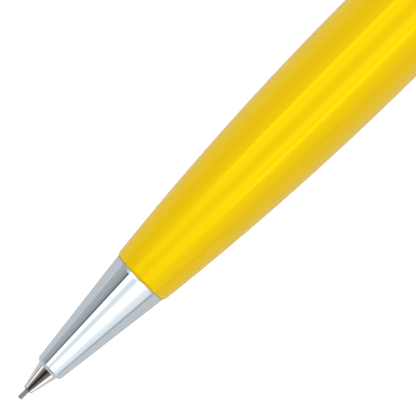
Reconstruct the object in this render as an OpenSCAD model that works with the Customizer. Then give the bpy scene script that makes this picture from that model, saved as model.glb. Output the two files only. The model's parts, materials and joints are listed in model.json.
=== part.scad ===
/* [Overall] */
// Length from the lead's point to the end of the push button
total_l = 139; // [137:0.5:144]
// Greatest diameter of the barrel
barrel_d = 13; // [12.8:0.1:13.4]
// Wall of the barrel's two drawn tubes
barrel_wall = 0.6; // [0.5:0.05:0.65]

/* [Lead] */
// Diameter of the lead
lead_d = 0.7; // [0.5:0.2:0.7]
// Length of a new lead
lead_l = 60; // [55:1:65]
// Bare lead in front of the tip cone
lead_out = 1.45; // [1:0.05:2]

/* [Tip and nose] */
// Part of the tip cone that stands out of the nose
tip_l = 3.55; // [3.35:0.05:3.65]
// Diameter of the tip cone's small end
tip_front_d = 1.35; // [1.2:0.05:1.4]
// Diameter of the tip cone where it enters the nose
tip_d = 3.1; // [2.9:0.05:3.1]
// Bare length of the nose cone
nose_l = 16.5; // [16:0.1:17]
// Diameter of the nose cone just behind its rounded lip
nose_front_d = 4.02; // [3.9:0.02:4.1]
// Diameter of the nose cone where it meets the barrel
nose_back_d = 7.86; // [7.6:0.02:7.9]

/* [Barrel] */
// Diameter of the lower barrel at its front lip
barrel_front_d = 8.3; // [8.1:0.1:8.5]
// Length of the lower barrel
lower_l = 54.5; // [52:0.5:56]
// Distance over which the lower barrel swells to its full diameter
swell_l = 43.5; // [40:0.5:44]
// Width of the ring between the two barrels
ring_w = 2; // [1.5:0.1:2.5]
// Straight part of the upper barrel behind the ring
upper_straight_l = 10; // [8:1:12]
// Diameter of the upper barrel at its rear end
barrel_back_d = 10.8; // [10.6:0.1:11.2]

/* [Clip] */
// Width of the clip
clip_w = 3.2; // [3:0.1:3.4]
// Thickness of the clip's arm
clip_t = 0.9; // [0.7:0.1:1]
// Distance of the arm's outer face from the pencil's axis
clip_out_r = 9.2; // [9:0.1:9.4]
// Distance from the clip's pin to the ball at its free end
clip_reach = 35.4; // [30:0.2:36]

/* [Motion] */
// Travel of the push button
push_travel = 3.5; // [2.5:0.1:3.5]
// Travel of the clutch ring, which is what one click feeds
ring_travel = 0.7; // [0.5:0.1:0.8]

/* [Hidden] */

// Every station is a distance along the axis from the lead's point.
lead_r = lead_d / 2;
lead_gap = 0.035;
slip = 0.02;      // radial gap of a glued, screwed or pressed joint
round_fn = 96;

tip_z = lead_out;
nose_z = tip_z + tip_l;
barrel_z = nose_z + nose_l;
ring_z = barrel_z + lower_l;
upper_z = ring_z + ring_w;
collar_z = total_l - 15.4;

barrel_r = barrel_d / 2;
barrel_front_r = barrel_front_d / 2;
barrel_back_r = barrel_back_d / 2;
lip_r = 0.4;

// The tip cone's hidden part and the front of the mechanism
retainer_z = nose_z + 0.35;
retainer_r = 0.93;
shoulder_z = nose_z + 3.35;
cavity_z = nose_z + 3.95;
tip_skirt_r = 1.95;
tip_cavity_r = 1.5;
sleeve_z = nose_z + 6.05;
tip_spigot_r = 1.72;
tip_end_z = sleeve_z + 2;
ring_rest_z = tip_end_z + ring_travel;
clutch_l = 2.6;
web_z = ring_rest_z + clutch_l;
web_t = 1;
collet_z = cavity_z + 0.1 + push_travel;
collet_head_r = 1.42;
shank_r = 0.9;
collet_end_z = 28;

// The mechanism sleeve and what it holds
sleeve_r1 = 2.1;
sleeve_r2 = 2.4;
sleeve_r3 = 2.6;
sleeve_step_z = sleeve_z + 3;
chamber_r = 1.95;
flange_z = barrel_z + 9.25;
flange_r = 3.25;
flange_t = 1.6;
sleeve_end_z = flange_z + 15.6;
spring_z = web_z + web_t;
spring_end_z = spring_z + 7.2;
guide_l = 3;

// The lead tube and the eraser's ferrule
tube_z = spring_end_z + 1;
tube_r = 1.75;
tube_bore_r = 1.4;
ferrule_z = collar_z - 7.6;
tube_end_z = collar_z + 0.4;
ferrule_flange_z = collar_z - 1.2;
ferrule_end_z = collar_z + 9.9;
ferrule_r = 2.55;
eraser_r = 2.3;
eraser_z = collar_z + 2.4;
eraser_end_z = collar_z + 13;

// The nose's thread and its seal
spigot_r = 3.3;
spigot_bore_r = 2.45;
groove_z = barrel_z + 0.75;
groove_w = 1;
groove_r = 2.84;
o_ring_r = 0.35;
barrel_bore_r = 3.62;
insert_z = barrel_z + 2.25;
insert_end_z = flange_z + flange_t + 1.5;
thread_pitch = 0.75;
thread_depth = 0.3;

// The joint between the barrels
coupler_r = 5.2;
coupler_bore_r = 4.6;
coupler_z = ring_z - 10;
coupler_end_z = upper_z + upper_straight_l;
rear_insert_z = ring_z - 12;

// The collar, its bush and the push button
spigot_z = collar_z - 6.6;
collar_spigot_r = 4.7;
collar_r = 5.45;
collar_bore_r = 4.3;
collar_l = 7.8;
collar_lip_r = 3.85;
collar_lip_t = 0.6;
bush_bore_r = 3.78;
button_r = 3.7;
button_z = collar_z - 0.18;
button_liner_r = 3.1;
button_bore_r = 2.62;
button_edge_r = 1.3;

// The clip, its hinge and the angle at which the pencil comes to rest on it
pin_r = 0.6;
pin_z = collar_z + 2.8;
pin_rho = 7;
lug_w = 2;
lug_r = 1.05;
cheek_t = 0.55;
clip_tail_z = collar_z + 7;
clip_under_r = clip_out_r - clip_t;
ball_r = 1.15;
ball_z = pin_z - clip_reach;
clip_spring_z = pin_z + 2.8;
clip_seat_rho = 4.6;
clip_pocket_r = 0.8;
clip_corner_r = norm([clip_out_r, clip_w / 2]);
clip_corner_turn = atan(clip_w / 2 / clip_out_r);
clip_turn = acos(barrel_r / clip_corner_r) + clip_corner_turn;
clip_side_y = clip_corner_r * sin(clip_turn + clip_corner_turn);
axis_y = (barrel_r - clip_side_y) / 2;

yellow = [0.94, 0.78, 0.1];
chrome = [0.82, 0.84, 0.87];
nickel = [0.72, 0.7, 0.67];
brass = [0.8, 0.65, 0.35];
steel = [0.6, 0.61, 0.63];
black = [0.12, 0.12, 0.13];
graphite = [0.3, 0.3, 0.31];

// Circular arc that touches the straight barrel at its full radius and drops by `drop` over `span`.
function swell_r(drop, span) = (span * span + drop * drop) / (2 * drop);
function swell(away, drop, span) =
    barrel_r - swell_r(drop, span) + sqrt(pow(swell_r(drop, span), 2) - pow(max(away, 0), 2));

full_z = barrel_z + swell_l;
taper_z = coupler_end_z;
function lower_r(z) = swell(full_z - z, barrel_r - barrel_front_r, swell_l - lip_r);
function upper_r(z) = swell(z - taper_z, barrel_r - barrel_back_r, collar_z - taper_z);

function arc(r, z, radius, from, to, steps = 6) =
    [for (i = [0:steps])
        let (t = from + (to - from) * i / steps) [r + radius * cos(t), z + radius * sin(t)]];
function between(z0, z1, steps) = [for (i = [0:steps]) z0 + (z1 - z0) * i / steps];
function ridges(r, z0, z1) =
    [for (i = [0:floor((z1 - z0) / thread_pitch) - 1], half = [0, 1])
        [r - (half == 0 ? thread_depth : 0), z0 + (i + 0.25 + half / 2) * thread_pitch]];

// Lays the pencil's axis along X, with the lead's point towards -X.
module on_axis() {
    translate([-total_l / 2, axis_y, barrel_r]) rotate([0, 90, 0]) children();
}

// Turns +X of the axis frame outwards through the clip.
module on_clip() {
    on_axis() rotate([0, 0, clip_turn]) children();
}

module lathe(outline) {
    on_axis() rotate_extrude($fn = round_fn) polygon(outline);
}

module tube(r_in, r_out, z0, z1) {
    lathe([[r_in, z0], [r_out, z0], [r_out, z1], [r_in, z1]]);
}

// Round wire wound along Z: the first and last turns lie close, the others share the rest.
module coil(mean_r, wire_r, length, turns, per_turn = 18, sides = 8) {
    steps = turns * per_turn;
    closed = 2.15 * wire_r;
    open_pitch = (length - 2 * wire_r - 2 * closed) / (turns - 2);
    heights = [for (i = [0:steps]) let (t = i / per_turn)
        wire_r + (t < 1 ? closed * t : t > turns - 1
            ? length - 2 * wire_r - closed * (turns - t) : closed + open_pitch * (t - 1))];
    points = [for (i = [0:steps], j = [0:sides - 1])
        let (t = 360 * i / per_turn, s = 360 * j / sides, r = mean_r + wire_r * cos(s))
            [r * cos(t), r * sin(t), heights[i] + wire_r * sin(s)]];
    walls = [for (i = [0:steps - 1], j = [0:sides - 1])
        let (k = (j + 1) % sides, a = i * sides, b = (i + 1) * sides) [a + k, a + j, b + j, b + k]];
    start = [for (j = [0:sides - 1]) j];
    finish = [for (j = [sides - 1:-1:0]) steps * sides + j];
    polyhedron(points, concat(walls, [start, finish]));
}

module lead() {
    color(graphite) on_axis() cylinder(h = lead_l, r = lead_r, $fn = 32);
}

module tip_cone() {
    color(nickel) lathe([
        [lead_r + lead_gap, tip_z], [tip_front_d / 2, tip_z], [tip_d / 2, nose_z + 0.1],
        [tip_d / 2, shoulder_z], [tip_skirt_r, shoulder_z + 0.5], [tip_skirt_r, sleeve_z],
        [tip_spigot_r, sleeve_z], [tip_spigot_r, tip_end_z], [tip_cavity_r, tip_end_z],
        [tip_cavity_r, cavity_z], [retainer_r + slip, cavity_z],
        [retainer_r + slip, retainer_z], [lead_r + lead_gap, retainer_z]
    ]);
}

module lead_retainer() {
    color(black) tube(lead_r + lead_gap, retainer_r, retainer_z, retainer_z + 3.1);
}

module nose_cone() {
    bore_r = tip_d / 2 + 0.07;
    lip = 0.745;
    lip_z = nose_z + 0.7;
    lip_c = nose_front_d / 2 - lip;
    lip_start = -acos((bore_r - lip_c) / lip);
    color(chrome) lathe(concat(
        arc(lip_c, lip_z, lip, lip_start, 0, 8),
        [
            [nose_back_d / 2, barrel_z - 0.06], [nose_back_d / 2 - 0.06, barrel_z],
            [spigot_r, barrel_z], [spigot_r, groove_z], [groove_r, groove_z],
            [groove_r, groove_z + groove_w], [spigot_r, groove_z + groove_w]
        ],
        ridges(spigot_r, insert_z, flange_z - 0.3),
        [
            [spigot_r - thread_depth, flange_z], [spigot_bore_r, flange_z],
            [spigot_bore_r, sleeve_step_z - 0.05], [sleeve_r1 + 0.05, sleeve_step_z - 0.05],
            [sleeve_r1 + 0.05, sleeve_z - 0.05], [tip_skirt_r + 0.05, sleeve_z - 0.05],
            [tip_skirt_r + 0.05, shoulder_z + 0.45], [bore_r, shoulder_z - 0.1]
        ]
    ));
}

module nose_o_ring() {
    color(black) on_axis() translate([0, 0, groove_z + groove_w / 2])
        rotate_extrude($fn = round_fn) translate([groove_r + 0.01 + o_ring_r, 0])
            circle(r = o_ring_r, $fn = 32);
}

module lower_barrel() {
    thin_z = insert_end_z + 1;
    color(yellow) lathe(concat(
        [[barrel_bore_r, barrel_z]],
        arc(barrel_front_r - lip_r, barrel_z + lip_r, lip_r, -90, 0),
        [for (z = between(barrel_z + lip_r + 1, full_z, 16)) [lower_r(z), z]],
        [[barrel_r, ring_z], [barrel_r - barrel_wall, ring_z]],
        [for (z = between(full_z, thin_z, 8)) [lower_r(z) - barrel_wall, z]],
        [[barrel_bore_r, insert_end_z]]
    ));
}

module front_insert() {
    thread_r = spigot_r + slip;
    color(brass) lathe([
        [thread_r, insert_z], [barrel_bore_r - slip, insert_z], [barrel_bore_r - slip, insert_end_z],
        [sleeve_r3 + 0.1, insert_end_z], [sleeve_r3 + 0.1, flange_z + flange_t],
        [thread_r, flange_z + flange_t]
    ]);
}

module rear_insert() {
    insert_r = lower_r(rear_insert_z) - barrel_wall - slip;
    color(brass) tube(coupler_r + slip, insert_r, rear_insert_z, ring_z);
}

module coupler() {
    seat_r = barrel_r - barrel_wall - slip;
    color(brass) lathe(concat(
        [[coupler_bore_r, coupler_z], [coupler_r - thread_depth, coupler_z]],
        ridges(coupler_r, coupler_z + 0.2, ring_z - 1),
        [
            [coupler_r, ring_z - 0.6], [coupler_r, upper_z], [seat_r, upper_z],
            [seat_r, coupler_end_z], [coupler_bore_r, coupler_end_z]
        ]
    ));
}

module centre_ring() {
    edge = 0.2;
    color(chrome) lathe([
        [coupler_r + slip, ring_z], [barrel_r - edge, ring_z], [barrel_r, ring_z + edge],
        [barrel_r, upper_z - edge], [barrel_r - edge, upper_z], [coupler_r + slip, upper_z]
    ]);
}

module upper_barrel() {
    thick_z = spigot_z - 1;
    color(yellow) lathe(concat(
        [[barrel_r - barrel_wall, upper_z], [barrel_r, upper_z], [barrel_r, taper_z]],
        [for (z = between(taper_z + 3, collar_z, 12)) [upper_r(z), z]],
        [[collar_spigot_r + slip, collar_z], [collar_spigot_r + slip, thick_z + 0.6]],
        [for (z = between(thick_z, taper_z + 0.5, 8)) [upper_r(z) - barrel_wall, z]]
    ));
}

module top_collar() {
    end_z = collar_z + collar_l;
    edge = 0.8;
    color(chrome) difference() {
        union() {
            lathe(concat(
                [
                    [collar_bore_r, spigot_z], [collar_spigot_r, spigot_z], [collar_spigot_r, collar_z],
                    [collar_r - 0.2, collar_z], [collar_r, collar_z + 0.2]
                ],
                arc(collar_r - 0.35 - edge, end_z - edge, edge, 0, 90),
                [
                    [collar_lip_r, end_z], [collar_lip_r, end_z - collar_lip_t],
                    [collar_bore_r, end_z - collar_lip_t]
                ]
            ));
            on_clip() translate([pin_rho, 0, pin_z]) rotate([90, 0, 0])
                cylinder(h = lug_w, r = lug_r, center = true, $fn = 48);
            on_clip() translate([clip_seat_rho + 0.2, -lug_w / 2, pin_z - lug_r])
                cube([pin_rho - clip_seat_rho - 0.2, lug_w, 2 * lug_r]);
        }
        on_clip() translate([pin_rho, 0, pin_z]) rotate([90, 0, 0])
            cylinder(h = lug_w + 1, r = pin_r + 0.05, center = true, $fn = 32);
        on_clip() translate([clip_seat_rho, 0, clip_spring_z]) rotate([0, 90, 0])
            cylinder(h = 2, r = clip_pocket_r, $fn = 32);
    }
}

module top_bush() {
    color(black) tube(bush_bore_r, collar_bore_r - slip, spigot_z, collar_z + collar_l - collar_lip_t);
}

module mechanism_sleeve() {
    color(brass) lathe([
        [tip_spigot_r + slip, sleeve_z], [sleeve_r1, sleeve_z], [sleeve_r1, sleeve_step_z],
        [sleeve_r2, sleeve_step_z], [sleeve_r2, flange_z], [flange_r, flange_z],
        [flange_r, flange_z + flange_t], [sleeve_r3, flange_z + flange_t], [sleeve_r3, sleeve_end_z],
        [chamber_r, sleeve_end_z], [chamber_r, spring_z], [shank_r + 0.1, spring_z],
        [shank_r + 0.1, web_z], [tip_spigot_r + slip, web_z]
    ]);
}

module guide_bush() {
    color(black) tube(tube_r + 0.05, chamber_r - slip, sleeve_end_z - guide_l, sleeve_end_z);
}

module clutch_ring() {
    bore_r = shank_r + 0.1;
    mouth_r = 1.38;
    color(brass) lathe([
        [mouth_r, ring_rest_z], [tip_spigot_r - 0.06, ring_rest_z],
        [tip_spigot_r - 0.06, web_z - slip], [bore_r, web_z - slip], [bore_r, ring_rest_z + 1.5]
    ]);
}

// A split chuck: its jaws close on the lead where its cone is drawn into the clutch ring.
module collet() {
    cone_z = ring_rest_z;
    slot_w = 0.22;
    color(brass) difference() {
        lathe([
            [lead_r + lead_gap, collet_z], [collet_head_r - 0.25, collet_z],
            [collet_head_r, collet_z + 0.25], [collet_head_r, cone_z - 0.3], [1.28, cone_z],
            [shank_r, cone_z + 1.5], [shank_r, collet_end_z], [0.6, collet_end_z],
            [0.6, cone_z + 4.5], [lead_r + lead_gap, cone_z + 4]
        ]);
        for (turn = [0, 120, 240])
            on_axis() rotate([0, 0, turn]) translate([0, -slot_w / 2, collet_z - 1])
                cube([2, slot_w, cone_z + 7 - collet_z]);
    }
}

module tube_connector() {
    spigot_end_z = tube_z + 5;
    color(black) lathe([
        [shank_r + slip, spring_end_z], [chamber_r - 0.05, spring_end_z], [chamber_r - 0.05, tube_z],
        [tube_bore_r - slip, tube_z], [tube_bore_r - slip, spigot_end_z], [1.2, spigot_end_z],
        [0.48, collet_end_z + 0.4], [0.48, collet_end_z], [shank_r + slip, collet_end_z]
    ]);
}

module return_spring() {
    color(steel) on_axis() translate([0, 0, spring_z + 0.01])
        coil(mean_r = 1.42, wire_r = 0.16, length = spring_end_z - spring_z - 0.02, turns = 9);
}

module lead_tube() {
    color("ivory") tube(tube_bore_r, tube_r, tube_z, tube_end_z);
}

module spare_leads() {
    for (turn = [30, 150, 270])
        color(graphite) on_axis() rotate([0, 0, turn]) translate([0.95, 0, tube_z + 9])
            cylinder(h = lead_l, r = lead_r, $fn = 32);
}

module eraser_ferrule() {
    color(nickel) lathe([
        [tube_r + slip, ferrule_z], [ferrule_r, ferrule_z], [ferrule_r, ferrule_flange_z],
        [button_liner_r + 0.2, ferrule_flange_z], [button_liner_r + 0.2, ferrule_flange_z + 1],
        [ferrule_r, ferrule_flange_z + 1], [ferrule_r, ferrule_end_z], [eraser_r + slip, ferrule_end_z],
        [eraser_r + slip, eraser_z], [tube_bore_r, eraser_z], [tube_bore_r, tube_end_z],
        [tube_r + slip, tube_end_z]
    ]);
}

module eraser() {
    edge = 0.5;
    color("white") lathe([
        [0, eraser_z], [eraser_r, eraser_z], [eraser_r, eraser_end_z - edge],
        [eraser_r - edge, eraser_end_z], [0, eraser_end_z]
    ]);
}

module push_button() {
    edge_z = total_l - button_edge_r;
    color(chrome) lathe(concat(
        [[button_liner_r + slip, button_z], [button_r, button_z]],
        arc(button_r - button_edge_r, edge_z, button_edge_r, 0, 90, 8),
        [[0, total_l], [0, total_l - 1.2], [button_liner_r + slip, total_l - 1.2]]
    ));
}

module button_liner() {
    color(black) tube(button_bore_r, button_liner_r, button_z, total_l - 3);
}

// One bent strip: arm, two cheeks that straddle the collar's lug, and a ball that rests on the barrel.
module clip() {
    ball_rho = barrel_r + 0.12 + ball_r;
    color(chrome) on_clip() difference() {
        union() {
            translate([clip_under_r, -clip_w / 2, ball_z]) cube([clip_t, clip_w, clip_tail_z - ball_z]);
            translate([clip_under_r, 0, ball_z]) rotate([0, 90, 0])
                cylinder(h = clip_t, r = clip_w / 2, $fn = 48);
            translate([ball_rho, 0, ball_z]) sphere(r = ball_r, $fn = 48);
            translate([ball_rho, 0, ball_z]) rotate([0, 90, 0])
                cylinder(h = clip_out_r - ball_rho - 0.1, r = 0.8, $fn = 32);
            for (side = [-1, 1])
                translate([0, side * (clip_w - cheek_t) / 2 + cheek_t / 2, 0]) rotate([90, 0, 0])
                    linear_extrude(cheek_t) polygon([
                        [clip_under_r + 0.05, pin_z - 5], [5.95, pin_z - 1.4], [5.95, clip_tail_z - 0.8],
                        [6.3, clip_tail_z], [clip_under_r + 0.05, clip_tail_z]
                    ]);
        }
        translate([pin_rho, 0, pin_z]) rotate([90, 0, 0])
            cylinder(h = clip_w + 1, r = pin_r + 0.01, center = true, $fn = 32);
    }
}

module clip_pin() {
    color(steel) on_clip() translate([pin_rho, 0, pin_z]) rotate([90, 0, 0])
        cylinder(h = clip_w, r = pin_r, center = true, $fn = 32);
}

module clip_spring() {
    color(steel) on_clip() translate([clip_seat_rho + 0.01, 0, clip_spring_z]) rotate([0, 90, 0])
        coil(mean_r = 0.55, wire_r = 0.13, length = clip_under_r - clip_seat_rho - 0.02, turns = 7);
}

lead();
tip_cone();
lead_retainer();
nose_cone();
nose_o_ring();
lower_barrel();
front_insert();
rear_insert();
coupler();
centre_ring();
upper_barrel();
top_collar();
top_bush();
mechanism_sleeve();
guide_bush();
clutch_ring();
collet();
tube_connector();
return_spring();
lead_tube();
spare_leads();
eraser_ferrule();
eraser();
push_button();
button_liner();
clip();
clip_pin();
clip_spring();
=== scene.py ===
"""Looks of the mechanical pencil: smooth turned shells, materials, light, floor and camera."""

import json
import math

import bmesh
import bpy
from mathutils import Matrix, Vector


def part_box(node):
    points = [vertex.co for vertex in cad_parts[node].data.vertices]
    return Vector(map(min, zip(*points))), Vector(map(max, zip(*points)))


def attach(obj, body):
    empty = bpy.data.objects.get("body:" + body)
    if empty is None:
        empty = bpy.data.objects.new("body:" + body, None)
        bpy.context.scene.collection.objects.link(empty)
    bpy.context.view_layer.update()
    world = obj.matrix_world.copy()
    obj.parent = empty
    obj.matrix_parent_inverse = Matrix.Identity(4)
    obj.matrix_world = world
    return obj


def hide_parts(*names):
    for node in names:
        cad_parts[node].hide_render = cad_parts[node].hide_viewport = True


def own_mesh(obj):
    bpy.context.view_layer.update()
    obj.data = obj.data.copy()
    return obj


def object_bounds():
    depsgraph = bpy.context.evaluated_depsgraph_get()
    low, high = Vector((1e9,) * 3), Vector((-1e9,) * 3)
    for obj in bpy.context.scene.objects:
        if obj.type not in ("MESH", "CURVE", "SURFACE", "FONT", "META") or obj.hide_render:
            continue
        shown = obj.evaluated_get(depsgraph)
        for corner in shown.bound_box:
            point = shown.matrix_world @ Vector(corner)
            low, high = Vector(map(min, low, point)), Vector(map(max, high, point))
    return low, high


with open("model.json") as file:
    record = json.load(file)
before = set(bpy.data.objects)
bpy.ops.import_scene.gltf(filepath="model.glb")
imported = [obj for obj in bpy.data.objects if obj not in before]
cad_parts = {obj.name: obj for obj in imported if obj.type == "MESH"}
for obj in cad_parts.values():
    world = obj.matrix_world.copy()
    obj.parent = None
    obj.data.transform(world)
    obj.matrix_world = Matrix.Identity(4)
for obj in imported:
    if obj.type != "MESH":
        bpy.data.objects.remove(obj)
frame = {"nodes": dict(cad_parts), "record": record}
cad_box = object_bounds()

MM = 0.001
TURN_STEPS = 160         # segments round a large turned piece
THREAD_PITCH = 0.75
THREAD_DEPTH = 0.3

# ---------------------------------------------------------------- places, from the frame

POINT_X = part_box("lead")[0].x


def middle(node):
    low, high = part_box(node)
    return (low + high) / 2


def station(x):
    """Millimetres along the axis from the lead's point, for a place in the frame."""
    return (x - POINT_X) / MM


def ends(node):
    low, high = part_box(node)
    return station(low.x), station(high.x)


def outer_r(node):
    """Radius of a node that is round about the axis."""
    low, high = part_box(node)
    return (high.z - low.z) / 2 / MM


AXIS = middle("lower_barrel")
PIN = middle("clip_pin")
OUTWARD = Vector((0, PIN.y - AXIS.y, PIN.z - AXIS.z)).normalized()
PIN_RHO = Vector((0, PIN.y - AXIS.y, PIN.z - AXIS.z)).length / MM
SIDEWAYS = Vector((1, 0, 0)).cross(OUTWARD)

TIP_A, TIP_END_A = ends("tip_cone")
RETAINER_A = ends("lead_retainer")[0]
NOSE_A, NOSE_END_A = ends("nose_cone")
O_RING_A = station(middle("nose_o_ring").x)
SLEEVE_A = ends("mechanism_sleeve")[0]
INSERT_A, INSERT_END_A = ends("front_insert")
BARREL_A, RING_A = ends("lower_barrel")
UPPER_A, COLLAR_A = ends("upper_barrel")
COLLAR_END_A = ends("top_collar")[1]
BUTTON_A, END_A = ends("push_button")
PIN_A = station(PIN.x)
FULL_R = outer_r("lower_barrel")

# ---------------------------------------------------------------- mesh helpers


def put(name, bm):
    """A finished piece from a bmesh, smooth except at real edges."""
    bmesh.ops.recalc_face_normals(bm, faces=bm.faces)
    mesh = bpy.data.meshes.new(name)
    bm.to_mesh(mesh)
    bm.free()
    mesh.shade_smooth()
    mesh.set_sharp_from_angle(angle=math.radians(28))
    piece = bpy.data.objects.new(name, mesh)
    bpy.context.scene.collection.objects.link(piece)
    return piece


def along(a, r, turn):
    """A point a mm from the lead's point and r mm from the axis."""
    return Vector((POINT_X + a * MM, AXIS.y + r * MM * math.sin(turn), AXIS.z + r * MM * math.cos(turn)))


def turned_mesh(outline, steps=TURN_STEPS):
    """Turns a closed outline of (a, r) points round the axis."""
    bm = bmesh.new()
    rings = []
    for a, r in outline:
        if r < 1e-6:
            rings.append([bm.verts.new(along(a, 0, 0))])
        else:
            rings.append([bm.verts.new(along(a, r, math.tau * k / steps)) for k in range(steps)])
    for one, two in zip(rings, rings[1:] + rings[:1]):
        if len(one) == 1 and len(two) == 1:
            continue
        for k in range(steps):
            after = k + 1
            quad = [one[k % len(one)], one[after % len(one)], two[after % len(two)], two[k % len(two)]]
            bm.faces.new(list(dict.fromkeys(quad)))
    return bm


def turned(name, outline, steps=TURN_STEPS):
    return put(name, turned_mesh(outline, steps))


def line(start, end, pitch=0.5):
    """Points from start to end, close enough together that smooth shading stays true."""
    n = max(1, round(math.dist(start, end) / pitch))
    (a0, r0), (a1, r1) = start, end
    return [(a0 + (a1 - a0) * k / n, r0 + (r1 - r0) * k / n) for k in range(n + 1)]


def between(start, end, steps):
    return [start + (end - start) * k / steps for k in range(steps + 1)]


def ridges(r, start, end):
    """Outline of a thread, drawn as plain rings."""
    count = math.floor((end - start) / THREAD_PITCH)
    return [
        (start + (k / 2 + 0.25) * THREAD_PITCH, r - THREAD_DEPTH * (1 - k % 2))
        for k in range(2 * count)
    ]


def arc(a, r, radius, start, end, steps=8):
    """Points on an arc round (a, r), angles in degrees from the +axis direction towards +r."""
    turns = [math.radians(start + (end - start) * k / steps) for k in range(steps + 1)]
    return [(a + radius * math.cos(t), r + radius * math.sin(t)) for t in turns]


def swell(away, drop, span):
    """Radius of the barrel, away mm from its straight part, on the arc that drops by drop over span."""
    radius = (span * span + drop * drop) / (2 * drop)
    return FULL_R - radius + math.sqrt(radius * radius - max(away, 0) ** 2)


def show(piece, body, node, material):
    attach(piece, body)
    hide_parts(node)
    piece.data.materials.clear()
    piece.data.materials.append(material)
    return piece


# ---------------------------------------------------------------- material helpers


def new_material(name):
    material = bpy.data.materials.new(name)
    material.use_nodes = True
    nodes = material.node_tree.nodes
    return material, nodes, material.node_tree.links, nodes["Principled BSDF"]


def noise(nodes, links, scale, detail=4.0, stretch=(1, 1, 1)):
    """Noise in the object's own metres."""
    place = nodes.new("ShaderNodeTexCoord")
    mapping = nodes.new("ShaderNodeMapping")
    mapping.inputs["Scale"].default_value = stretch
    texture = nodes.new("ShaderNodeTexNoise")
    texture.inputs["Scale"].default_value = scale
    texture.inputs["Detail"].default_value = detail
    links.new(place.outputs["Object"], mapping.inputs["Vector"])
    links.new(mapping.outputs["Vector"], texture.inputs["Vector"])
    return texture.outputs["Fac"]


def spread(nodes, links, value, low, high):
    """Maps a noise value of 0.3 to 0.7 to the range low to high."""
    remap = nodes.new("ShaderNodeMapRange")
    remap.inputs["From Min"].default_value = 0.3
    remap.inputs["From Max"].default_value = 0.7
    remap.inputs["To Min"].default_value = low
    remap.inputs["To Max"].default_value = high
    links.new(value, remap.inputs["Value"])
    return remap.outputs["Result"]


def shade(nodes, links, value, dark, light):
    """A colour between dark and light by a noise value."""
    ramp = nodes.new("ShaderNodeValToRGB")
    ramp.color_ramp.elements[0].position = 0.35
    ramp.color_ramp.elements[0].color = (*dark, 1)
    ramp.color_ramp.elements[1].position = 0.65
    ramp.color_ramp.elements[1].color = (*light, 1)
    links.new(value, ramp.inputs["Fac"])
    return ramp.outputs["Color"]


def remapped(nodes, links, value, start, end):
    """0 up to start, and 1 from end on."""
    remap = nodes.new("ShaderNodeMapRange")
    remap.inputs["From Min"].default_value = start
    remap.inputs["From Max"].default_value = end
    links.new(value, remap.inputs["Value"])
    return remap.outputs["Result"]


def mixed(nodes, links, factor, colour, other):
    """A colour socket, turning to another where the factor is 1."""
    mix = nodes.new("ShaderNodeMix")
    mix.data_type = "RGBA"
    mix.inputs["B"].default_value = (*other, 1)
    links.new(factor, mix.inputs["Factor"])
    links.new(colour, mix.inputs["A"])
    return mix.outputs["Result"]


def bump(nodes, links, shader, value, height):
    node = nodes.new("ShaderNodeBump")
    node.inputs["Strength"].default_value = 1.0
    node.inputs["Distance"].default_value = height
    links.new(value, node.inputs["Height"])
    links.new(node.outputs["Normal"], shader.inputs["Normal"])


# ---------------------------------------------------------------- materials


def yellow_lacquer():
    """Deep yellow lacquer with a fine pearl, tinted reflections and a trace of orange peel."""
    material, nodes, links, shader = new_material("yellow_lacquer")
    pearl = noise(nodes, links, 9000, 2)
    colour = shade(nodes, links, pearl, (0.76, 0.47, 0.002), (0.79, 0.494, 0.005))
    links.new(colour, shader.inputs["Base Color"])
    cloud = noise(nodes, links, 500, 3)
    links.new(spread(nodes, links, cloud, 0.07, 0.1), shader.inputs["Roughness"])
    shader.inputs["IOR"].default_value = 1.95
    shader.inputs["Specular Tint"].default_value = (1.0, 1.0, 0.0, 1)
    peel = noise(nodes, links, 1300, 1)
    bump(nodes, links, shader, peel, 0.0000015)
    return material


def chrome():
    """Bright plating, with faint smears that show only in its sharpness."""
    material, nodes, links, shader = new_material("chrome")
    smear = noise(nodes, links, 260, 4, (1, 3, 3))
    colour = shade(nodes, links, smear, (0.575, 0.635, 0.685), (0.60, 0.66, 0.71))
    links.new(colour, shader.inputs["Base Color"])
    links.new(spread(nodes, links, smear, 0.03, 0.06), shader.inputs["Roughness"])
    shader.inputs["Metallic"].default_value = 1.0
    return material


def nickel(name="nickel", painted_shade_a=None):
    """Warm nickel with rings of fine tool marks and, when a station is given, a painted shade ring that
    darkens it from the front up to that station.
    """
    material, nodes, links, shader = new_material(name)
    marks = noise(nodes, links, 900, 2, (12, 0.2, 0.2))
    colour = shade(nodes, links, marks, (0.66, 0.63, 0.60), (0.74, 0.71, 0.68))
    if painted_shade_a:
        # Painted shade: the colour goes dark at the front edge and fades back to nickel just behind the
        # given station.
        place = nodes.new("ShaderNodeTexCoord")
        split = nodes.new("ShaderNodeSeparateXYZ")
        links.new(place.outputs["Object"], split.inputs["Vector"])
        start = POINT_X + painted_shade_a * MM
        painted_shade = remapped(nodes, links, split.outputs["X"], start + PAINTED_SHADE_FADE * MM, start)
        colour = mixed(nodes, links, painted_shade, colour, (0.17, 0.16, 0.15))
    links.new(colour, shader.inputs["Base Color"])
    links.new(spread(nodes, links, marks, 0.04, 0.09), shader.inputs["Roughness"])
    shader.inputs["Metallic"].default_value = 1.0
    bump(nodes, links, shader, marks, 0.0000006)
    return material


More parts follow.
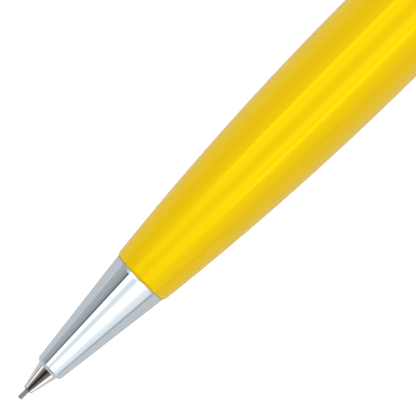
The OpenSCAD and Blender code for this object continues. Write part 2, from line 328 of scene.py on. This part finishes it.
def graphite():
    """Drawn graphite: dark grey with fine grain and a painted sheen, the base colour turning lighter grey
    where the surface turns away.
    """
    material, nodes, links, shader = new_material("graphite")
    grain = noise(nodes, links, 7000, 4, (1, 2.5, 2.5))
    # Painted sheen: the base colour is mixed towards light grey at grazing angles.
    away = nodes.new("ShaderNodeLayerWeight")
    painted_sheen = remapped(nodes, links, away.outputs["Facing"], 0.02, 0.42)
    colour = shade(nodes, links, grain, (0.12, 0.115, 0.11), (0.21, 0.2, 0.195))
    links.new(mixed(nodes, links, painted_sheen, colour, (0.5, 0.49, 0.48)), shader.inputs["Base Color"])
    links.new(spread(nodes, links, grain, 0.32, 0.5), shader.inputs["Roughness"])
    shader.inputs["Metallic"].default_value = 0.55
    bump(nodes, links, shader, grain, 0.000006)
    return material


def metal(name, dark, light, rough, scale=1500):
    """Plain machined metal with a fine grain."""
    material, nodes, links, shader = new_material(name)
    grain = noise(nodes, links, scale, 3, (4, 1, 1))
    links.new(shade(nodes, links, grain, dark, light), shader.inputs["Base Color"])
    links.new(spread(nodes, links, grain, rough * 0.8, rough * 1.2), shader.inputs["Roughness"])
    shader.inputs["Metallic"].default_value = 1.0
    bump(nodes, links, shader, grain, 0.000002)
    return material


def moulded(name, dark, light, rough, scale=2500, height=0.000004):
    """Moulded plastic or rubber with a fine skin texture."""
    material, nodes, links, shader = new_material(name)
    skin = noise(nodes, links, scale, 4)
    links.new(shade(nodes, links, skin, dark, light), shader.inputs["Base Color"])
    links.new(spread(nodes, links, skin, rough * 0.85, rough * 1.15), shader.inputs["Roughness"])
    bump(nodes, links, shader, skin, height)
    return material


# Length in mm over which the tip's painted shade ring fades back to nickel.
PAINTED_SHADE_FADE = 0.06
YELLOW = yellow_lacquer()
CHROME = chrome()
NICKEL = nickel()
# The tip's nickel carries a painted shade ring at its front edge.
TIP_NICKEL = nickel("tip_nickel", TIP_A + 0.1)
GRAPHITE = graphite()
BRASS = metal("brass", (0.62, 0.44, 0.17), (0.72, 0.54, 0.25), 0.25)
STEEL = metal("spring_steel", (0.42, 0.43, 0.45), (0.55, 0.56, 0.58), 0.22)
BLACK = moulded("black_plastic", (0.012, 0.012, 0.014), (0.02, 0.02, 0.022), 0.42)
IVORY = moulded("ivory_plastic", (0.74, 0.70, 0.60), (0.80, 0.77, 0.68), 0.3)
BLACK_RUBBER = moulded("black_rubber", (0.015, 0.015, 0.016), (0.026, 0.026, 0.027), 0.7)
WHITE_RUBBER = moulded("white_rubber", (0.74, 0.74, 0.72), (0.82, 0.82, 0.80), 0.8, 3000, 0.00001)

BY_SLOT = {
    "graphite": GRAPHITE, "nickel": NICKEL, "chrome": CHROME, "yellow_lacquer": YELLOW, "brass": BRASS,
    "spring_steel": STEEL, "black_rubber": BLACK_RUBBER, "white_rubber": WHITE_RUBBER,
    "black_plastic": BLACK, "ivory_plastic": IVORY,
}
for part in frame["record"]["subparts"]:
    slots = frame["nodes"][part["node"]].data.materials
    slots.clear()
    slots.append(BY_SLOT[part["material_slot"]])

# ---------------------------------------------------------------- lead and tip

SLIP = 0.02
LEAD_R = 0.35
TIP_FRONT_R = 0.675
TIP_R = 1.55


def make_lead():
    end, edge = ends("lead")[1], 0.05
    outline = [(0, 0)] + arc(edge, LEAD_R - edge, edge, 180, 90, 3)
    outline += line((0.3, LEAD_R), (end, LEAD_R), 2) + [(end, 0)]
    return turned("lead_stick", outline, 48)


def make_tip():
    edge = 0.07
    bore, seat, cavity = LEAD_R + 0.03, outer_r("lead_retainer") + SLIP, 1.5
    skirt, spigot = 1.95, 1.72
    shoulder, cavity_a, end = NOSE_A + 3.35, RETAINER_A + 3.6, TIP_END_A - SLIP
    cone_end = NOSE_A + 0.1
    slope = math.degrees(math.atan2(TIP_R - TIP_FRONT_R, cone_end - TIP_A))
    outline = arc(TIP_A + edge, bore + edge, edge, 270, 180, 4)
    outline += arc(TIP_A + edge, TIP_FRONT_R - edge, edge, 180, 90 + slope, 5)
    outline += line((TIP_A + 0.12, TIP_FRONT_R + 0.02), (cone_end, TIP_R), 0.2)[1:]
    outline += line((cone_end + 0.1, TIP_R), (shoulder, TIP_R))
    outline += [(shoulder + 0.5, skirt), (SLEEVE_A, skirt), (SLEEVE_A, spigot), (end, spigot)]
    outline += [(end, cavity), (cavity_a, cavity), (cavity_a, seat), (RETAINER_A, seat), (RETAINER_A, bore)]
    return turned("tip_cone_shell", outline, 96)


show(make_lead(), "lead", "lead", GRAPHITE)
show(make_tip(), "barrel", "tip_cone", TIP_NICKEL)

# ---------------------------------------------------------------- nose cone

NOSE_FRONT_R = 2.01
NOSE_BACK_R = 3.93
NOSE_BORE_R = 1.62
NOSE_LIP = 0.745


def make_nose():
    lip_a, lip_r = NOSE_A + 0.7, NOSE_FRONT_R - NOSE_LIP
    slope = math.degrees(math.atan2(NOSE_BACK_R - NOSE_FRONT_R, BARREL_A - lip_a))
    edge = 0.06
    inner_turn = math.asin((NOSE_BORE_R + edge - lip_r) / (NOSE_LIP - edge))
    inner_a = lip_a - (NOSE_LIP - edge) * math.cos(inner_turn)
    lip_start = 180 - math.degrees(inner_turn)
    # The cone meets its rounded lip in a small crisp corner, where two tangents of the lip's circle cross.
    lip_end, corner_r = 122, 0.12
    corner, half_turn = math.radians((lip_end + 90 + slope) / 2), math.radians((lip_end - 90 - slope) / 2)
    reach = (NOSE_LIP - corner_r) / math.cos(half_turn)
    corner_a, corner_mid = lip_a + reach * math.cos(corner), lip_r + reach * math.sin(corner)
    spigot, groove, root, step = 3.3, 2.84, 2.45, 0.05
    groove_a, groove_end = O_RING_A - 0.5, O_RING_A + 0.5
    outline = arc(inner_a, NOSE_BORE_R + edge, edge, 270, lip_start, 6)[:-1]
    outline += arc(lip_a, lip_r, NOSE_LIP, lip_start, lip_end, 16)
    outline += arc(corner_a, corner_mid, corner_r, lip_end, 90 + slope, 5)
    outline += line((lip_a + 0.05, NOSE_FRONT_R + 0.006), (BARREL_A - edge, NOSE_BACK_R), 0.4)
    outline += arc(BARREL_A - edge, NOSE_BACK_R - edge, edge, 80, 0, 4)
    outline += [(BARREL_A, spigot), (groove_a, spigot), (groove_a, groove)]
    outline += [(groove_end, groove), (groove_end, spigot)]
    outline += ridges(spigot, INSERT_A, NOSE_END_A - 0.3)
    outline += [(NOSE_END_A, spigot - THREAD_DEPTH), (NOSE_END_A, root), (SLEEVE_A + 3 - step, root)]
    outline += [(SLEEVE_A + 3 - step, 2.15), (SLEEVE_A - step, 2.15), (SLEEVE_A - step, 2.0)]
    outline += [(NOSE_A + 3.8, 2.0), (NOSE_A + 3.25, NOSE_BORE_R)]
    return turned("nose_cone_shell", outline)


show(make_nose(), "barrel", "nose_cone", CHROME)

# ---------------------------------------------------------------- barrels and ring

LIP_R = 4.15
LIP_EDGE = 0.4
SWELL_L = 43.5
WALL = 0.6
BACK_R = 5.4
STRAIGHT_L = 10


def lower_r(a):
    return swell(BARREL_A + SWELL_L - a, FULL_R - LIP_R, SWELL_L - LIP_EDGE)


def upper_r(a):
    taper = UPPER_A + STRAIGHT_L
    return swell(a - taper, FULL_R - BACK_R, COLLAR_A - taper)


def make_lower():
    start, edge, bore = BARREL_A + LIP_EDGE, 0.08, 3.62
    outline = arc(start, LIP_R - LIP_EDGE, LIP_EDGE, 180, 93.5, 10)
    outline += [(a, lower_r(a)) for a in between(start + 0.12, RING_A - edge, 110)]
    outline += arc(RING_A - edge, FULL_R - edge, edge, 75, 0, 4)
    outline += [(a, lower_r(a) - WALL) for a in between(RING_A, INSERT_END_A + 1, 50)]
    outline += [(INSERT_END_A, bore), (BARREL_A, bore)]
    return turned("lower_barrel_shell", outline, 192)


def make_upper():
    edge, bore, thick_a = 0.08, 4.72, COLLAR_A - 7.6
    outline = arc(UPPER_A + edge, FULL_R - edge, edge, 180, 90, 5)
    outline += [(a, upper_r(a)) for a in between(UPPER_A + 0.15, COLLAR_A - edge, 90)]
    outline += arc(COLLAR_A - edge, BACK_R - edge, edge, 75, 0, 4)
    outline += [(COLLAR_A, bore), (thick_a + 0.6, bore)]
    outline += [(a, upper_r(a) - WALL) for a in between(thick_a, UPPER_A, 40)]
    return turned("upper_barrel_shell", outline, 192)


def make_ring():
    """Flat ring with softly rounded edges and a fine groove round its middle."""
    end, edge, groove, inner = UPPER_A, 0.22, 0.09, 5.25
    mid = (RING_A + end) / 2
    outline = [(RING_A, inner)] + arc(RING_A + edge, FULL_R - edge, edge, 180, 90, 6)
    outline += line((RING_A + edge + 0.03, FULL_R), (mid - groove - 0.03, FULL_R), 0.2)
    outline += arc(mid, FULL_R, groove, 180, 360, 8)
    outline += line((mid + groove + 0.03, FULL_R), (end - edge - 0.03, FULL_R), 0.2)
    outline += arc(end - edge, FULL_R - edge, edge, 90, 0, 6) + [(end, inner)]
    return turned("centre_ring_band", outline, 192)


show(make_lower(), "barrel", "lower_barrel", YELLOW)
show(make_upper(), "barrel", "upper_barrel", YELLOW)
show(make_ring(), "barrel", "centre_ring", CHROME)

# ---------------------------------------------------------------- clip side of the top end

COLLAR_R = 5.45
COLLAR_BACK_R = 5.1
COLLAR_BORE_R = 4.3
COLLAR_SPIGOT_R = 4.7
LUG_W = 2.0
LUG_R = 1.05
PIN_R = 0.6
CLIP_TOP = 9.2
CLIP_T = 0.9
CLIP_UNDER = CLIP_TOP - CLIP_T
CLIP_HALF_W = 1.6
CHEEK_T = 0.55
BALL_R = 1.15
SPRING_A = PIN_A + 2.8
SPRING_SEAT = 4.6


def spot(a, rho, side=0.0):
    """A point a mm from the lead's point, rho mm out towards the clip and side mm across it."""
    return Vector((POINT_X + a * MM, AXIS.y, AXIS.z)) + (OUTWARD * rho + SIDEWAYS * side) * MM


def loft(sections):
    """Closed skin over a row of closed sections with equally many points."""
    bm = bmesh.new()
    rings = [[bm.verts.new(point) for point in section] for section in sections]
    count = len(rings[0])
    for one, two in zip(rings, rings[1:]):
        for k in range(count):
            bm.faces.new((one[k], one[(k + 1) % count], two[(k + 1) % count], two[k]))
    bm.faces.new(rings[0])
    bm.faces.new(rings[-1])
    return bm


def block(a0, a1, rho0, rho1, half_w):
    """Straight block between two stations and two distances from the axis."""
    corners = ((rho0, -half_w), (rho0, half_w), (rho1, half_w), (rho1, -half_w))
    return loft([[spot(a, rho, side) for rho, side in corners] for a in (a0, a1)])


def rod_across(a, rho, radius, half_w, steps=48):
    """Round rod that lies across the clip."""
    turns = [math.tau * k / steps for k in range(steps)]
    return loft([
        [spot(a + radius * math.cos(t), rho + radius * math.sin(t), side) for t in turns]
        for side in (-half_w, half_w)
    ])


def turned_outward(outline, a, steps=64):
    """Turns a closed outline of (rho, r) points round the line that leads outwards at station a."""
    bm = bmesh.new()
    rings = []
    for rho, r in outline:
        count = 1 if r < 1e-6 else steps
        turns = [math.tau * k / steps for k in range(count)]
        rings.append([bm.verts.new(spot(a + r * math.cos(t), rho, r * math.sin(t))) for t in turns])
    for one, two in zip(rings, rings[1:] + rings[:1]):
        if len(one) == 1 and len(two) == 1:
            continue
        for k in range(steps):
            after = k + 1
            quad = [one[k % len(one)], one[after % len(one)], two[after % len(two)], two[k % len(two)]]
            bm.faces.new(list(dict.fromkeys(quad)))
    return bm


def combined(name, base, adds=(), cuts=()):
    """One clean solid: base with others joined on and cut away."""
    piece = put(name, base)
    helpers = []
    for operation, meshes in (("UNION", adds), ("DIFFERENCE", cuts)):
        for mesh in meshes:
            helper = put("helper", mesh)
            helpers.append(helper)
            step = piece.modifiers.new(operation, "BOOLEAN")
            step.operation = operation
            step.solver = "EXACT"
            step.object = helper
    view = bpy.context.evaluated_depsgraph_get()
    solid = bpy.data.meshes.new_from_object(piece.evaluated_get(view))
    piece.modifiers.clear()
    piece.data = solid
    for helper in helpers:
        bpy.data.objects.remove(helper)
    solid.shade_smooth()
    solid.set_sharp_from_angle(angle=math.radians(28))
    return piece


def make_collar():
    """Short cone with a rounded rear edge, a lug for the clip's pin and a seat for its spring."""
    edge, end = 0.8, COLLAR_END_A
    spigot_a = COLLAR_A - 6.6
    outline = [(spigot_a, COLLAR_BORE_R), (spigot_a, COLLAR_SPIGOT_R), (COLLAR_A, COLLAR_SPIGOT_R)]
    outline += arc(COLLAR_A + 0.2, COLLAR_R - 0.2, 0.2, 180, 90, 6)
    outline += line((COLLAR_A + 0.25, COLLAR_R), (end - edge - 0.02, COLLAR_BACK_R), 0.4)
    outline += arc(end - edge, COLLAR_BACK_R - edge, edge, 87, 0, 12)
    outline += [(end, 3.95)] + arc(end - 0.1, 3.95, 0.1, 0, -90, 3)
    outline += [(end - 0.6, 3.85), (end - 0.6, COLLAR_BORE_R)]
    lug = rod_across(PIN_A, PIN_RHO, LUG_R, LUG_W / 2)
    web = block(PIN_A - LUG_R, PIN_A + LUG_R, 4.8, PIN_RHO, LUG_W / 2)
    hole = rod_across(PIN_A, PIN_RHO, PIN_R + 0.03, LUG_W)
    pocket = turned_outward([(SPRING_SEAT, 0), (SPRING_SEAT, 0.8), (6.6, 0.8), (6.6, 0)], SPRING_A)
    return combined("top_collar_body", turned_mesh(outline, 192), (lug, web), (hole, pocket))


def clip_section(a, half_w, top, bottom, shoulder=0.8, steps=28):
    """Section of the clip: a crowned back between straight sides."""
    points = [spot(a, bottom, -half_w)]
    for k in range(steps + 1):
        t = math.pi * (k / steps - 0.5)
        side = half_w * math.copysign(abs(math.sin(t)) ** 0.5, t)
        points.append(spot(a, top - shoulder + shoulder * math.cos(t) ** 0.5, side))
    return points + [spot(a, bottom, half_w)]


def make_clip():
    """Crowned arm that narrows towards the ball underneath, with cheeks beside the collar's lug."""
    ball_a = PIN_A - 35.4
    front, tail, end_r = ball_a - 1.6, PIN_A + 4.2, 1.3
    sections = []

    def narrow(a):
        return CLIP_HALF_W - 0.28 * max(0.0, (PIN_A - 5 - a) / (PIN_A - 5 - front)) ** 1.3

    def cheek(a):
        deep = CLIP_UNDER - 5.95
        down = min(1.0, max(0.0, (a - (PIN_A - 5)) / 3.6))
        back = min(1.0, max(0.0, (a - (tail - 0.8)) / 0.8))
        return CLIP_UNDER - deep * down * down * (3 - 2 * down) + 0.35 * back * back

    for k in range(1, 13):
        t = math.pi / 2 * k / 12
        a = front + end_r * (1 - math.cos(t))
        drop = 0.3 * (1 - math.sin(t))
        half_w = narrow(front) * math.sin(t)
        sections.append(clip_section(a, half_w, CLIP_TOP - drop, CLIP_UNDER, 0.8 - drop))
    steps = 60
    for k in range(1, steps + 1):
        a = front + end_r + (tail - 0.3 - front - end_r) * k / steps
        sections.append(clip_section(a, narrow(a), CLIP_TOP, cheek(a)))
    for k in range(1, 6):
        t = math.pi / 2 * k / 5
        a = tail - 0.3 + 0.3 * math.sin(t)
        drop = 0.3 * (1 - math.cos(t))
        sections.append(clip_section(a, CLIP_HALF_W - drop / 3, CLIP_TOP - drop, cheek(a), 0.8 - drop))
    ball_rho = FULL_R + 0.12 + BALL_R
    ball = [(ball_rho - BALL_R * math.cos(t), BALL_R * math.sin(t)) for t in
            (math.radians(4 * k) for k in range(28))]
    ball += [(CLIP_UNDER - 0.12, 1.03), (CLIP_UNDER - 0.03, 1.1), (CLIP_UNDER + 0.1, 1.15)]
    ball += [(CLIP_TOP - 0.35, 0.6), (CLIP_TOP - 0.3, 0)]
    gap = CLIP_HALF_W - CHEEK_T
    slot = block(PIN_A - 6, tail + 1, 4, CLIP_UNDER, gap)
    press = block(ball_a + 2.4, PIN_A - 7, 7, CLIP_UNDER + 0.35, 0.85)
    hole = rod_across(PIN_A, PIN_RHO, PIN_R + 0.02, 3)
    return combined("clip_strip", loft(sections), (turned_outward(ball, ball_a),), (slot, press, hole))


def make_pin():
    """Pin with slightly domed ends that are flush with the cheeks."""
    turns = [math.tau * k / 48 for k in range(48)]
    ends = [(-1.0, 0.02), (-0.985, 0.35), (-0.96, 0.52), (-0.9, PIN_R)]
    ends += [(-share, radius) for share, radius in reversed(ends)]
    return put("clip_pin_rivet", loft([
        [spot(PIN_A + r * math.cos(t), PIN_RHO + r * math.sin(t), share * CLIP_HALF_W) for t in turns]
        for share, r in ends
    ]))


def wound(name, place, length, wire, mean, turns, per_turn=28, sides=14):
    """Coil with closed turns at both ends; place makes a point of a height, a radius and a turn."""
    closed = 2.15 * wire
    pitch = (length - 2 * wire - 2 * closed) / (turns - 2)

    def height(t):
        if t < 1:
            return wire + closed * t
        if t > turns - 1:
            return length - wire - closed * (turns - t)
        return wire + closed + pitch * (t - 1)

    sections = []
    for k in range(turns * per_turn + 1):
        around = [math.tau * j / sides for j in range(sides)]
        turn, mid = math.tau * k / per_turn, height(k / per_turn)
        sections.append([place(mid + wire * math.sin(s), mean + wire * math.cos(s), turn) for s in around])
    return put(name, loft(sections))


def make_clip_spring():
    """Coil between the collar's seat and the clip."""
    def place(height, r, turn):
        return spot(SPRING_A + r * math.cos(turn), SPRING_SEAT + 0.01 + height, r * math.sin(turn))

    return wound("clip_spring_coil", place, CLIP_UNDER - SPRING_SEAT - 0.02, 0.13, 0.55, 7)


def make_return_spring():
    """Coil round the collet's shank, between the sleeve's web and the tube connector."""
    start, end = ends("return_spring")

    def place(height, r, turn):
        return along(start + height, r, turn)

    return wound("return_spring_coil", place, end - start, 0.16, 1.42, 9)


show(make_collar(), "barrel", "top_collar", CHROME)
show(make_clip(), "clip", "clip", CHROME)
show(make_pin(), "clip", "clip_pin", STEEL)
clip_coil = show(make_clip_spring(), "barrel", "clip_spring", STEEL)
# The clip's tail comes down on this coil, and the push button's travel shortens the other one.
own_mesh(clip_coil)
return_coil = show(make_return_spring(), "barrel", "return_spring", STEEL)
COIL_A, COIL_END_A = ends("return_spring")
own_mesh(return_coil)

# ---------------------------------------------------------------- push button, eraser and its ferrule

BUTTON_R = 3.7
BUTTON_BORE_R = 3.12
FERRULE_R = 2.55
FERRULE_FLANGE_R = 3.3
ERASER_R = 2.3


def make_button():
    """Cap with a rounded edge and a slightly crowned end."""
    edge, slope = 1.3, 10
    flat_r = BUTTON_R - edge
    crown = (flat_r + edge * math.sin(math.radians(slope))) / math.sin(math.radians(slope))
    centre = END_A - crown * (1 - math.cos(math.radians(slope))) - edge * math.cos(math.radians(slope))
    outline = [(BUTTON_A, BUTTON_BORE_R)] + arc(BUTTON_A + 0.12, BUTTON_R - 0.12, 0.12, 180, 90, 5)
    outline += line((BUTTON_A + 0.2, BUTTON_R), (centre - 0.1, BUTTON_R), 0.6)
    outline += arc(centre, flat_r, edge, 90, slope, 16)
    outline += arc(END_A - crown, 0, crown, slope * 0.9, 0, 8)[:-1] + [(END_A, 0)]
    outline += [(END_A - 1.2, 0), (END_A - 1.2, BUTTON_BORE_R)]
    return turned("push_button_cap", outline, 144)


def make_liner():
    start, end = ends("button_liner")
    outer, bore, edge = outer_r("button_liner"), 2.62, 0.12
    outline = [(start, bore + edge), (start, outer - edge), (start + edge, outer)]
    outline += [(end, outer), (end, bore), (start + edge, bore)]
    return turned("button_liner_sleeve", outline, 96)


def make_ferrule():
    """Thin nickel sleeve with a stop flange and two crimped beads that hold the eraser."""
    start, end = ends("eraser_ferrule")
    flange, edge, bead = start + 6.4, 0.08, 0.12
    outline = [(start, 1.8), (start, FERRULE_R - edge), (start + edge, FERRULE_R), (flange, FERRULE_R)]
    outline += arc(flange + edge, FERRULE_FLANGE_R - edge, edge, 180, 90, 3)
    outline += arc(flange + 1 - edge, FERRULE_FLANGE_R - edge, edge, 90, 0, 3)
    outline += [(flange + 1, FERRULE_R)]
    for mid in (end - 2.4, end - 1.5):
        outline += [
            (mid - 0.35 + 0.7 * k / 12, FERRULE_R - bead * math.sin(math.pi * k / 12))
            for k in range(13)
        ]
    outline += arc(end - edge, FERRULE_R - edge, edge, 90, 0, 3)
    outline += [(end, ERASER_R + 0.02), (end - 7.5, ERASER_R + 0.02), (end - 7.5, 1.4), (start + 8, 1.4)]
    return turned("eraser_ferrule_sleeve", outline + [(start + 8, 1.8)], 128)


def make_eraser():
    """Eraser with a rounded end."""
    start, end = ends("eraser")
    edge = 0.5
    outline = [(start, 0), (start, ERASER_R)]
    outline += line((start + 0.4, ERASER_R), (end - edge - 0.1, ERASER_R), 0.4)
    outline += arc(end - edge, ERASER_R - edge, edge, 90, 12, 8)
    outline += line((end, ERASER_R - edge - 0.1), (end, 0.3), 0.3) + [(end, 0)]
    return turned("eraser_stick", outline, 96)


show(make_button(), "button", "push_button", CHROME)
show(make_liner(), "button", "button_liner", BLACK)
show(make_ferrule(), "plunger", "eraser_ferrule", NICKEL)
show(make_eraser(), "plunger", "eraser", WHITE_RUBBER)

# ---------------------------------------------------------------- light, floor and camera

FLOOR_SIZE = 6.0
floor_mesh = bmesh.new()
bmesh.ops.create_grid(floor_mesh, x_segments=1, y_segments=1, size=FLOOR_SIZE / 2)
floor = put("floor", floor_mesh)
floor.location.z = cad_box[0].z


def floor_material():
    """Pale matt board. Its own faint glow, seen by the eye only, keeps the ground close to white."""
    material, nodes, links, shader = new_material("pale_floor")
    shader.inputs["Base Color"].default_value = (0.76, 0.76, 0.76, 1)
    shader.inputs["Roughness"].default_value = 0.9
    shader.inputs["Specular IOR Level"].default_value = 0.1
    glow = nodes.new("ShaderNodeLightPath")
    strength = nodes.new("ShaderNodeMath")
    strength.operation = "MULTIPLY"
    strength.inputs[1].default_value = 0.7
    links.new(glow.outputs["Is Camera Ray"], strength.inputs[0])
    shader.inputs["Emission Color"].default_value = (1, 1, 1, 1)
    links.new(strength.outputs["Value"], shader.inputs["Emission Strength"])
    return material


floor.data.materials.append(floor_material())

# Brightness of the studio round the pencil's axis: degrees from straight up, positive towards -Y.
# Each part of the studio reaches from one share of the way ahead on, where -1 is straight behind
# the pencil and 1 is straight ahead of its point.
STRAIGHT_BEHIND = [(-92, 0.85), (92, 0.85)]
BEHIND = [(-92, 1.25), (-20, 1.25), (20, 0.45), (92, 0.4)]
OVER_BARREL = [
    (-92, 0.66), (-82, 0.63), (-64, 0.64), (-50, 0.95), (-40, 1.3), (-37, 1.8), (-35.5, 3.3),
    (-33, 3.1), (-31, 2.2),     (-22, 2.3), (-15, 2.1), (-7, 1.4), (4, 1.2), (10, 1.6), (16, 2.2),
    (21, 2.6), (27, 2.1), (33, 2.2), (35.5, 3.3),     (38.5, 3.3), (41, 2.1), (44, 1.65), (52, 1.4),
    (64, 1.1), (78, 0.76), (84, 0.74), (92, 0.9),
]
OVER_FRONT = [
    (-92, 0.66), (-82, 0.63), (-64, 0.56), (-59, 0.65), (-54, 0.9), (-46, 1.05), (-38, 1.3),
    (-30, 1.8), (-23, 2.1),     (-15, 1.6), (0, 1.45), (8, 1.8), (15, 2.4), (22, 2.0), (31, 2.3),
    (38, 1.7), (44, 1.45), (56, 1.2), (64, 1.2),     (74, 1.15), (79, 0.66), (85, 0.6), (92, 0.85),
]
OVER_NOSE = [
    (-92, 0.66), (-82, 0.63), (-64, 0.56), (-48, 0.42), (-44, 0.05), (-41.5, 0.05), (-40, 1.6),
    (-28, 1.65),     (-22, 1.9), (-17, 1.18), (-1, 1.15), (5, 1.6), (20, 1.9), (36, 1.8), (42.5, 1.5),
    (50, 1.3), (64, 1.2),     (74, 1.15), (79, 0.66), (85, 0.6), (92, 0.85),
]
AHEAD = [
    (-92, 0.5), (-84, 0.3), (-76, 0.65), (-68, 1.5), (-58, 1.4), (-51, 0.8), (-42, 0.4),
    (-30, 0.21), (-15, 0.12),     (-5, 0.03), (7, 0.01), (14, 0.05), (24, 0.16), (34, 0.2), (46, 0.22),
    (52, 0.26), (58, 0.38), (63, 0.75),     (68, 1.25), (74, 1.8), (80, 2.0), (92, 2.0),
]
STRAIGHT_AHEAD = [(-92, 0.72), (18, 0.7), (28, 0.45), (50, 0.45), (62, 0.75), (92, 0.8)]
# Where each part begins, from and to: between the two it fades in.
STUDIO = [
    (-0.99, -0.75, BEHIND), (-0.4, -0.3, OVER_BARREL), (0.17, 0.25, OVER_FRONT), (0.274, 0.285, OVER_NOSE),
    (0.35, 0.39, AHEAD), (0.6, 0.66, STRAIGHT_AHEAD),
]
HALF_TURN = 100.0


def studio():
    world = bpy.data.worlds.new("studio")
    bpy.context.scene.world = world
    world.use_nodes = True
    nodes, links = world.node_tree.nodes, world.node_tree.links
    background = nodes["Background"]
    place = nodes.new("ShaderNodeTexCoord")
    split = nodes.new("ShaderNodeSeparateXYZ")
    links.new(place.outputs["Generated"], split.inputs["Vector"])

    def math_node(operation, a, b=None):
        node = nodes.new("ShaderNodeMath")
        node.operation = operation
        for socket, value in zip(node.inputs, (a, b)):
            if value is None:
                continue
            if isinstance(value, (int, float)):
                socket.default_value = value
            else:
                links.new(value, socket)
        return node.outputs["Value"]

    turn = math_node("ARCTAN2", math_node("MULTIPLY", split.outputs["Y"], -1.0), split.outputs["Z"])
    share = math_node("ADD", math_node("MULTIPLY", turn, 90 / math.pi / HALF_TURN), 0.5)

    def band(stops):
        curve = nodes.new("ShaderNodeFloatCurve")
        points = curve.mapping.curves[0].points
        while len(points) > 2:
            points.remove(points[-1])
        top = max(v for _, v in stops)
        for k, (angle, value) in enumerate(stops):
            x, y = 0.5 + angle / 2 / HALF_TURN, value / top
            point = points[k] if k < 2 else points.new(x, y)
            point.location = (x, y)
            point.handle_type = "VECTOR"
        curve.mapping.update()
        links.new(share, curve.inputs["Value"])
        return math_node("MULTIPLY", curve.outputs["Value"], top)

    ahead = math_node("MULTIPLY", split.outputs["X"], -1.0)

    def step(low, high):
        node = nodes.new("ShaderNodeMapRange")
        node.interpolation_type = "SMOOTHSTEP"
        node.inputs["From Min"].default_value = low
        node.inputs["From Max"].default_value = high
        links.new(ahead, node.inputs["Value"])
        return node.outputs["Result"]

    def mix(factor, a, b):
        node = nodes.new("ShaderNodeMix")
        for socket, value in zip((node.inputs[0], node.inputs[2], node.inputs[3]), (factor, a, b)):
            if isinstance(value, (int, float)):
                socket.default_value = value
            else:
                links.new(value, socket)
        return node.outputs[0]

    light = band(STRAIGHT_BEHIND)
    for low, high, stops in STUDIO:
        light = mix(step(low, high), light, band(stops))
    eye = nodes.new("ShaderNodeLightPath").outputs["Is Camera Ray"]
    links.new(mix(eye, light, 1.0), background.inputs["Strength"])
    background.inputs["Color"].default_value = (1, 1, 1, 1)


studio()

# The camera stands over the pencil, a little behind the point, and is rolled so that the pencil
# runs corner to corner.
TILT = math.radians(4.3)
ROLL = math.radians(44.9)
VIEW_WIDTH = 52.0 * MM
DISTANCE = 0.9
SENSOR = 36
FROM_POINT = 33.48 * MM
ASIDE = 0.20 * MM


def camera():
    data = bpy.data.cameras.new("camera")
    rig = bpy.data.objects.new("camera", data)
    bpy.context.scene.collection.objects.link(rig)
    back = Vector((math.sin(TILT), 0, math.cos(TILT)))
    length = Vector((math.cos(TILT), 0, -math.sin(TILT)))
    across = back.cross(length)
    right = math.cos(ROLL) * length - math.sin(ROLL) * across
    up = math.sin(ROLL) * length + math.cos(ROLL) * across
    target = Vector((POINT_X, AXIS.y, AXIS.z)) + FROM_POINT * length + ASIDE * across
    facing = Matrix((right, up, back)).transposed().to_4x4()
    rig.matrix_world = Matrix.Translation(target + DISTANCE * back) @ facing
    data.sensor_width = SENSOR
    data.lens = SENSOR * DISTANCE / VIEW_WIDTH
    data.clip_start, data.clip_end = 0.05, 20
    bpy.context.scene.camera = rig


camera()
bpy.context.scene.view_settings.view_transform = "Standard"
